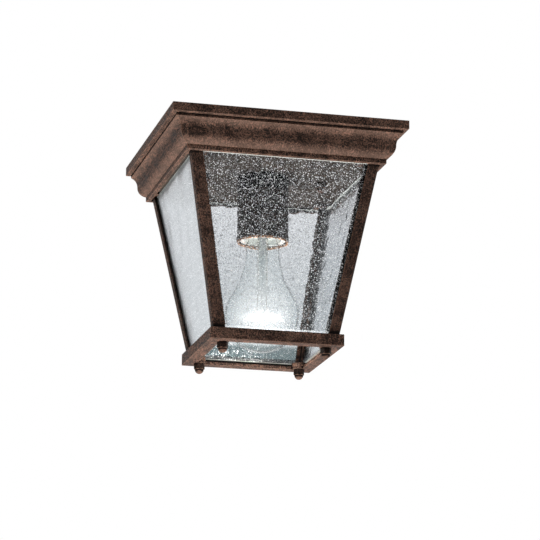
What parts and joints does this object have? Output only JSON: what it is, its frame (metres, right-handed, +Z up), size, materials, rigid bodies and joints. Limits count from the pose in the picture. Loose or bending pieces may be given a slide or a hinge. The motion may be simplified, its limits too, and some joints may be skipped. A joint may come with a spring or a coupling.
{
  "type": "outdoor flush mount light",
  "caption": "Square tapered lantern that mounts flush to a ceiling: moulded canopy, corner posts, seeded glass panes, an open bottom ring and a screw-in bulb in a round cup.",
  "frame": {"origin": "centre of the ceiling plane that the canopy's rim and the mounting strap lie against", "axes": "+Z up into the ceiling, -Y towards the front pane, +X to the right seen from the front"},
  "size_m": [0.235, 0.235, 0.2276],
  "materials": {
    "bronze": "dark brown-black paint with rust-coloured mottling and fine streaks",
    "zinc_steel": "zinc plated",
    "green_steel": "green grounding screw",
    "seeded_glass": "clear, full of small seeds",
    "porcelain": "white glaze",
    "brass": "plain",
    "bulb_glass": "clear, thin",
    "stem_glass": "clear",
    "wire": "drawn wire",
    "filament": "coiled wire",
    "bulb_base": "rolled thread",
    "bulb_insulator": "black glass",
    "solder": "dull solder"
  },
  "bodies": {
    "root": {"canopy": "bronze", "pan": "bronze", "mounting_strap": "zinc_steel", "strap_screws": "zinc_steel", "strap_locknuts": "zinc_steel", "canopy_cap_nuts": "bronze", "ground_screw": "green_steel", "post_front_left": "bronze", "post_front_right": "bronze", "post_back_left": "bronze", "post_back_right": "bronze", "post_screws": "zinc_steel", "bottom_ring": "bronze", "ring_studs": "zinc_steel", "ring_cap_nuts": "bronze", "glass_front": "seeded_glass", "glass_right": "seeded_glass", "glass_back": "seeded_glass", "glass_left": "seeded_glass", "socket_cup": "bronze", "socket_body": "porcelain", "socket_shell": "brass", "socket_contact": "brass", "socket_terminal_screws": "brass", "socket_nipple": "zinc_steel", "nipple_locknuts": "zinc_steel"},
    "bulb_tip": {"bulb_insulator": "bulb_insulator", "bulb_contact": "solder"},
    "bulb": {"bulb_envelope": "bulb_glass", "bulb_stem": "stem_glass", "bulb_support_wires": "wire", "bulb_filament": "filament", "bulb_screw_shell": "bulb_base"}
  },
  "joints": [
    {"name": "bulb_travel", "type": "slide", "parent": "root", "child": "bulb_tip", "axis": [0, 0, -1], "range_m": [0, 0.0218]},
    {"name": "bulb_turn", "type": "hinge", "parent": "bulb_tip", "child": "bulb", "pos_m": [0, 0, -0.066], "axis": [0, 0, -1], "range_deg": [0, 2160]}
  ],
  "couplings": [
    {"joint": "bulb_travel", "follows": "bulb_turn", "m_per_rad": 0.00057751}
  ]
}
